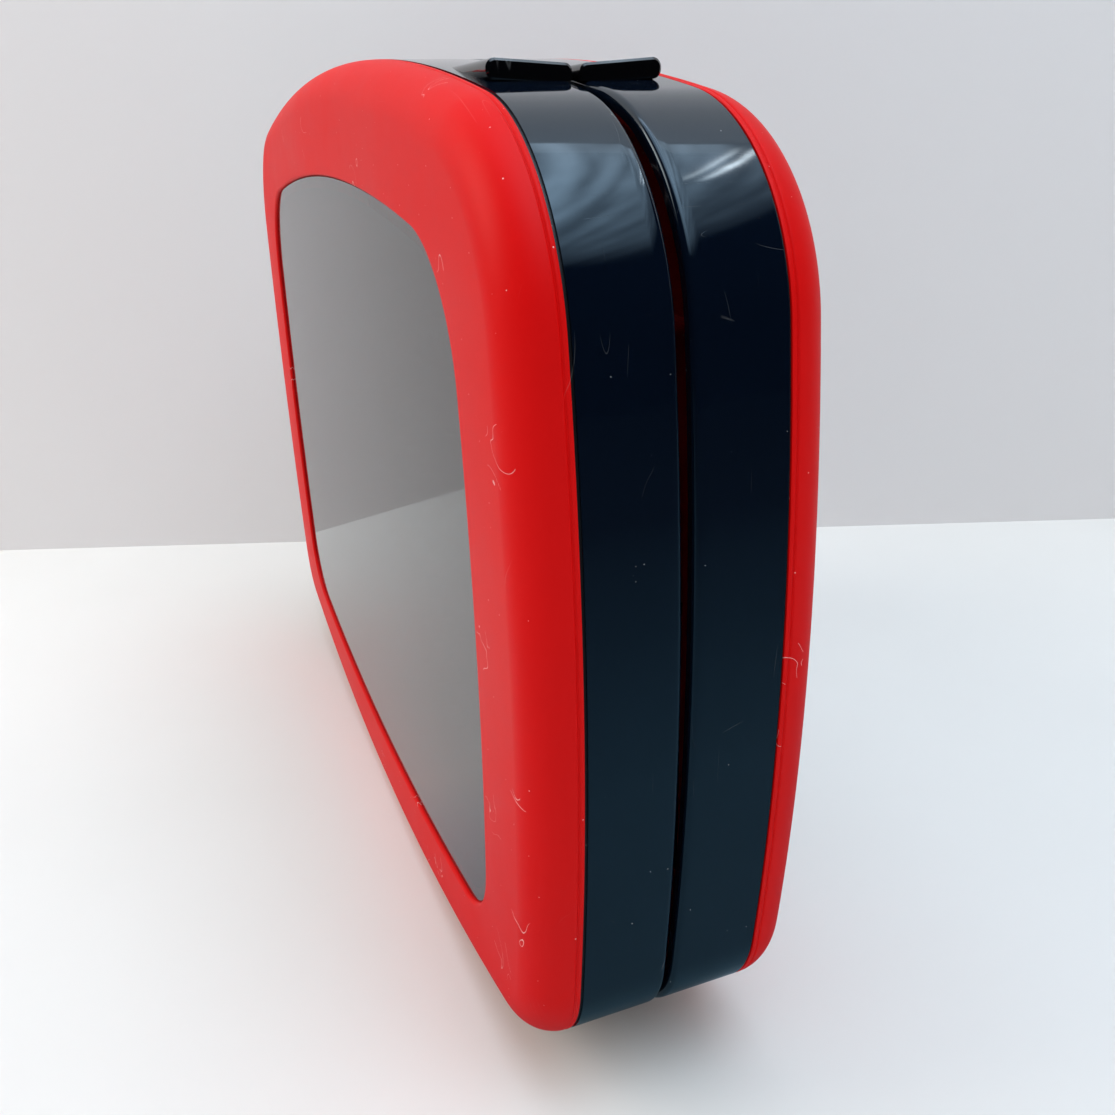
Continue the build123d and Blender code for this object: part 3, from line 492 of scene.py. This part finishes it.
# ---- Hinge knuckles and standing feet --------------------------------------------------------------
# Navy blocks moulded with the walls: a round barrel for the pin, an arm, and a flat foot that the case
# stands on.  Those of the lid sit between those of the base.
def foot_section(side):
    """The barrel's half circle about the hinge axis, then the arm's step and the foot, as (y, z)."""
    barrel = [(-barrel_radius * math.sin(a), axis_z - barrel_radius * math.cos(a)) for a in quarter(0, 180, 17)]
    foot = [(4.8, 8.0), (4.8, 5.2), (16.0, 5.2), (16.5, 4.8), (16.5, 0.4), (16.1, 0.0)]
    return np.array([(side * y, z) for y, z in barrel + foot])


def carried_block(name, section, start, end, edge=0.35):
    """A section in the YZ plane carried along X, drawn in by edge at both ends, with flat end faces."""
    middle = section.mean(0)
    shrunk = middle + (section - middle) * (1 - edge / np.abs(section - middle).max())
    stations = ((start, shrunk), (start + edge, section), (end - edge, section), (end, shrunk))
    rings = [np.column_stack([np.full(len(s), x), s]) * MM for x, s in stations]
    count = len(section)
    mesh = bpy.data.meshes.new(name)
    faces = [
        (i * count + j, i * count + (j + 1) % count, (i + 1) * count + (j + 1) % count, (i + 1) * count + j)
        for i in range(3) for j in range(count)
    ]
    faces += [tuple(range(count)), tuple(range(3 * count, 4 * count))]
    mesh.from_pydata([tuple(p) for p in np.concatenate(rings)], [], faces)
    return outward(mesh)


for side, body in ((LID, "lid"), (BASE, "base")):
    for number, (start, end) in enumerate(knuckles[side], 1):
        block = carried_block(f"{body}_knuckle_{number}", foot_section(side), start, end)
        add_piece(block, body, navy)


# ---- Trim rings ------------------------------------------------------------------------------------
# A thin black ring shows as a dark line between each wall and its bezel.  It is pressed flat between
# the two and sits a little below both.
black_matte = moulded_finish("black_trim", (0.004, 0.004, 0.005, 1), (0.009, 0.009, 0.010, 1), 0.45, 0.004, 0.0,
                             dust_share=0.3)
trim_recess, trim_width, trim_thickness = 0.45, 4.5, 0.5
bezel_depth = wall_depth + trim_thickness
for side, body in ((LID, "lid"), (BASE, "base")):
    trim_edge = trim_recess + trim_width
    section = (
        (trim_recess, wall_depth), (trim_recess, bezel_depth), (trim_edge, bezel_depth), (trim_edge, wall_depth),
    )
    band = join_rings(f"{body}_trim_band", [ring(case_outline, turn, s, d, side) for s, d in section])
    add_piece(band, body, black_matte, (f"{body}_trim_ring",))


# ---- Bezels ----------------------------------------------------------------------------------------
# The red frames round the windows, moulded with a broad soft edge and a satin, almost rubbery finish.
# Beside the trim ring each has a narrow lip and a groove, and inside it steps down to its window.
window_outline = bowed_outline(108.0, 21.8, 175.6, 100.0, 452.0, 543.0, 558.0, 28.3, 20.7)
half_depth, face_rounding, bezel_thickness, window_depth = 28.0, 9.0, 2.4, 25.1
window_lip, window_ledge, window_rim, rim_thickness = 0.8, 3.0, 3.0, 1.5
groove_depth, groove_width, groove_place = 0.25, 0.2, 19.6


def bezel_rings(side):
    """Rings from the back edge over the lip, the groove and the broad quarter round to the face, then
    down the window's step and back along the inside. The groove is a bell curve in the inset."""
    crest = half_depth - face_rounding
    inside = face_rounding - bezel_thickness
    rim_back = window_depth - rim_thickness
    outer = [
        (bezel_thickness, bezel_depth), (0.35, bezel_depth), (0.1, bezel_depth + 0.1), (0.0, bezel_depth + 0.35),
    ]
    broad = [(face_rounding * (1 - math.cos(a)), crest + face_rounding * math.sin(a)) for a in np.concatenate([
        quarter(0, 7, 15), quarter(9, 90, 26)])]
    outer += [(s + groove_depth * math.exp(-(((d - groove_place) / groove_width) ** 2)), d) for s, d in broad]
    inner = [
        (window_lip * (math.sin(a) - 1), half_depth + window_lip * (math.cos(a) - 1)) for a in quarter(0, 90, 7)
    ]
    inner += [(0.0, window_depth), (window_ledge, window_depth), (window_ledge, rim_back),
              (-window_rim, rim_back), (-window_rim, half_depth - bezel_thickness)]
    hollow = [(face_rounding - inside * math.cos(a), crest + inside * math.sin(a)) for a in quarter(90, 0, 8)]
    return (
        [ring(case_outline, turn, s, d, side) for s, d in outer]
        + [ring(window_outline, turn, s, d, side) for s, d in inner]
        + [ring(case_outline, turn, s, d, side) for s, d in hollow]
    )


lint, given, put = new_group(
    "curled_lint",
    [("Vector", "NodeSocketVector", None), ("Scale", "NodeSocketFloat", 60.0),
     ("Width", "NodeSocketFloat", 0.0025), ("Share", "NodeSocketFloat", 0.2)],
    [("Mask", "NodeSocketFloat")],
)
# A fibre lies where a noise crosses its middle inside a chosen cell, away from the cell's edge
curl = add_node(lint, "ShaderNodeTexNoise", Vector=given.outputs["Vector"], Scale=given.outputs["Scale"],
                Detail=1.0, Distortion=1.5)
offset = add_node(lint, "ShaderNodeMath", operation="SUBTRACT", Value=curl.outputs["Fac"], Value__1=0.5)
away = add_node(lint, "ShaderNodeMath", operation="ABSOLUTE", Value=offset.outputs[0])
line = add_node(lint, "ShaderNodeMath", operation="LESS_THAN", Value=away.outputs[0],
                Value__1=given.outputs["Width"])
cells = add_node(lint, "ShaderNodeTexVoronoi", Vector=given.outputs["Vector"], Scale=given.outputs["Scale"])
lot = add_node(lint, "ShaderNodeSeparateColor", Color=cells.outputs["Color"])
chosen = add_node(lint, "ShaderNodeMath", operation="LESS_THAN", Value=lot.outputs["Red"],
                  Value__1=given.outputs["Share"])
within = add_node(lint, "ShaderNodeMath", operation="LESS_THAN", Value=cells.outputs["Distance"], Value__1=0.42)
both = add_node(lint, "ShaderNodeMath", operation="MULTIPLY", Value=line.outputs[0], Value__1=chosen.outputs[0])
kept = add_node(lint, "ShaderNodeMath", operation="MULTIPLY", Value=both.outputs[0], Value__1=within.outputs[0])
lint.links.new(kept.outputs[0], put.inputs["Mask"])

red_satin = moulded_finish("red_satin", (0.60, 0.0002, 0.0003, 1), (0.67, 0.0006, 0.0007, 1), 0.48, 0.010, 0.02,
                           scratch_width=0.002, dust_share=0.06, dust_colour=(0.80, 0.35, 0.33, 1),
                           fine_scale=1500.0, IOR=1.20)
tree = red_satin.node_tree
shader = tree.nodes["Principled BSDF"]
at = add_node(tree, "ShaderNodeTexCoord").outputs["Object"]
fibres = place_group(tree, lint, Vector=at, Scale=80.0, Share=0.22, Width=0.0032)
before = shader.inputs["Base Color"].links[0].from_socket
faint = add_node(tree, "ShaderNodeMath", operation="MULTIPLY", Value=fibres.outputs[0], Value__1=0.62)
tree.links.new(mix_colour(tree, faint.outputs[0], before, (0.85, 0.60, 0.57, 1)), shader.inputs["Base Color"])
for side, body in ((LID, "lid"), (BASE, "base")):
    frame_mesh = join_rings(f"{body}_bezel_shell", bezel_rings(side))
    add_piece(frame_mesh, body, red_satin, (f"{body}_bezel",))


# ---- Windows ---------------------------------------------------------------------------------------
# Smoked clear panes, cut from flat sheet and seated on the bezels' ledges.  They show little of what is
# behind them and mirror the room when seen at a low angle.
smoked, tree, shader = new_material("smoked_pane", Base_Color=(0.055, 0.058, 0.062, 1), IOR=1.52,
                                    Transmission_Weight=0.92)
at = add_node(tree, "ShaderNodeTexCoord").outputs["Object"]
smear = add_node(tree, "ShaderNodeTexNoise", Vector=at, Scale=30.0, Detail=4.0, Distortion=0.6)
rough = add_node(tree, "ShaderNodeMapRange", Value=smear.outputs["Fac"], From_Min=0.3, From_Max=0.8,
                 To_Min=0.02, To_Max=0.09)
specks = place_group(tree, dust, Vector=at, Scale=420.0, Size=0.12, Share=0.05)
dulled = add_node(tree, "ShaderNodeMath", operation="MULTIPLY_ADD", Value=specks.outputs[0], Value__1=0.4,
                  Value__2=rough.outputs[0])
tree.links.new(dulled.outputs[0], shader.inputs["Roughness"])
wave = add_node(tree, "ShaderNodeTexNoise", Vector=at, Scale=14.0, Detail=1.0)
bump = add_node(tree, "ShaderNodeBump", Height=wave.outputs["Fac"], Strength=0.6, Distance=0.05 * MM)
tree.links.new(bump.outputs[0], shader.inputs["Normal"])


def finish_nodes(material, *names):
    """Gives CAD nodes whose shape is kept their material, in every slot they have."""
    for name in names:
        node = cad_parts[name]
        for slot in node.material_slots:
            slot.material = material
        if not node.material_slots:
            node.data.materials.append(material)


finish_nodes(smoked, "lid_window", "base_window")


# ---- Finger tabs -----------------------------------------------------------------------------------
# Flared black plates on the shoulders, one to a half at each end, plugged into the walls.  A thumb
# between the pair at one end pulls the halves apart.
black_gloss = moulded_finish("black_gloss", (0.0015, 0.0015, 0.002, 1), (0.003, 0.003, 0.0035, 1), 0.10, 0.001,
                             0.05, IOR=1.5)
finish_nodes(black_gloss, "lid_tab_left", "lid_tab_right", "base_tab_left", "base_tab_right")


# ---- Decks, boards and fittings inside -------------------------------------------------------------
# Red inner trays clamp the walls to the bezels and frame the peg boards.  Their red is painted darker
# than the bezels' red, as painted shade for the seam gap, where the trays show between the walls.
red_deck = moulded_finish("red_deck", (0.30, 0.002, 0.003, 1), (0.37, 0.004, 0.005, 1), 0.35, 0.006, 0.05)
finish_nodes(red_deck, "lid_deck", "base_deck")
finish_nodes(navy, "white_peg_tray", "red_peg_tray", "white_peg_cover", "red_peg_cover")
finish_nodes(black_gloss, "catch_tongue", "catch_keeper")
steel, tree, shader = new_material("bright_steel", Base_Color=(0.55, 0.55, 0.56, 1), Metallic=1.0)
at = add_node(tree, "ShaderNodeTexCoord").outputs["Object"]
brushed = add_node(tree, "ShaderNodeTexNoise", Vector=at, Scale=900.0, Detail=3.0)
rough = add_node(tree, "ShaderNodeMapRange", Value=brushed.outputs["Fac"], To_Min=0.22, To_Max=0.42)
tree.links.new(rough.outputs[0], shader.inputs["Roughness"])
finish_nodes(steel, "lid_screws", "base_screws", "hinge_pin_left", "hinge_pin_right")

board_navy = moulded_finish("board_navy", (0.010, 0.045, 0.13, 1), (0.018, 0.065, 0.17, 1), 0.28, 0.004, 0.04)
finish_nodes(board_navy, "ocean_grid", "target_grid")

# Both boards carry printed pale lines between their cells, 13 mm apart, about the middle of the window
grid_z, pitch, cells_across = 98.7, 13.0, 10
tree = board_navy.node_tree
shader = tree.nodes["Principled BSDF"]
at = add_node(tree, "ShaderNodeTexCoord").outputs["Object"]
centred = add_node(tree, "ShaderNodeMapping", Vector=at, Location=(0.0, 0.0, -grid_z * MM))
apart = add_node(tree, "ShaderNodeSeparateXYZ", Vector=centred.outputs[0])
ruled = None
for axis in ("X", "Z"):
    steps = add_node(tree, "ShaderNodeMath", operation="MULTIPLY", Value=apart.outputs[axis],
                     Value__1=1 / (pitch * MM))
    near = add_node(tree, "ShaderNodeMath", operation="PINGPONG", Value=steps.outputs[0], Value__1=0.5)
    rule = add_node(tree, "ShaderNodeMapRange", Value=near.outputs[0], From_Min=0.018, From_Max=0.030,
                    To_Min=1.0, To_Max=0.0)
    ruled = rule.outputs[0] if ruled is None else add_node(
        tree, "ShaderNodeMath", operation="MAXIMUM", Value=ruled, Value__1=rule.outputs[0]).outputs[0]
ink = add_node(tree, "ShaderNodeMath", operation="MULTIPLY", Value=ruled, Value__1=0.65)
before = shader.inputs["Base Color"].links[0].from_socket
tree.links.new(mix_colour(tree, ink.outputs[0], before, (0.42, 0.55, 0.66, 1)), shader.inputs["Base Color"])

# Raised letters beside the rows and numbers above the columns of both boards, moulded with the decks
white_print = moulded_finish("white_print", (0.70, 0.70, 0.68, 1), (0.80, 0.80, 0.78, 1), 0.4, 0.002, 0.0)


def label_mesh(name, marks, size, side, front):
    """Text marks made a mesh: (word, x, z) in mm, drawn upright on the deck at this depth as seen from
    the seam, 0.25 mm proud."""
    parts = bmesh.new()
    for word, x, z in marks:
        letters = bpy.data.curves.new("letters", "FONT")
        letters.body, letters.size = word, size * MM
        letters.align_x, letters.align_y = "CENTER", "CENTER"
        letters.extrude = 0.125 * MM
        writer = bpy.data.objects.new("letters", letters)
        scene.collection.objects.link(writer)
        bpy.context.view_layer.update()
        drawn = bpy.data.meshes.new_from_object(writer.evaluated_get(bpy.context.evaluated_depsgraph_get()))
        # The reader looks outwards from the seam: text right is +X towards the base, -X towards the lid
        stand = Matrix(((side, 0, 0, x * MM), (0, 0, -side, side * (front - 0.125) * MM), (0, 1, 0, z * MM),
                        (0, 0, 0, 1)))
        drawn.transform(stand)
        parts.from_mesh(drawn)
        bpy.data.objects.remove(writer)
        bpy.data.meshes.remove(drawn)
    mesh = bpy.data.meshes.new(name)
    bmesh.ops.remove_doubles(parts, verts=parts.verts, dist=1e-7)
    bmesh.ops.recalc_face_normals(parts, faces=parts.faces)
    parts.to_mesh(mesh)
    parts.free()
    return mesh


middles = (np.arange(cells_across) - (cells_across - 1) / 2) * pitch
label_size, above_board, beside_board = 5.0, 68.2, 67.2
for side, body, front in ((LID, "lid", 6.0), (BASE, "base", 10.0)):
    marks = [(str(i + 1), side * middles[i], grid_z + above_board) for i in range(cells_across)]
    marks += [("ABCDEFGHIJ"[i], -side * beside_board, grid_z - middles[i]) for i in range(cells_across)]
    add_piece(label_mesh(f"{body}_labels", marks, label_size, side, front), body, white_print)

white_peg = moulded_finish("white_peg", (0.74, 0.74, 0.72, 1), (0.82, 0.82, 0.80, 1), 0.30, 0.002, 0.0,
                           Subsurface_Weight=0.1)
red_peg = moulded_finish("red_peg", (0.55, 0.010, 0.010, 1), (0.64, 0.018, 0.016, 1), 0.28, 0.002, 0.0)
finish_nodes(white_peg, "white_pegs", "white_target_pegs")
finish_nodes(red_peg, "red_pegs", "red_target_pegs")
ship_grey = moulded_finish("ship_grey", (0.20, 0.21, 0.22, 1), (0.26, 0.27, 0.28, 1), 0.38, 0.010, 0.02)
finish_nodes(ship_grey, "carrier", "dreadnought", "cruiser", "submarine", "patrol_boat")
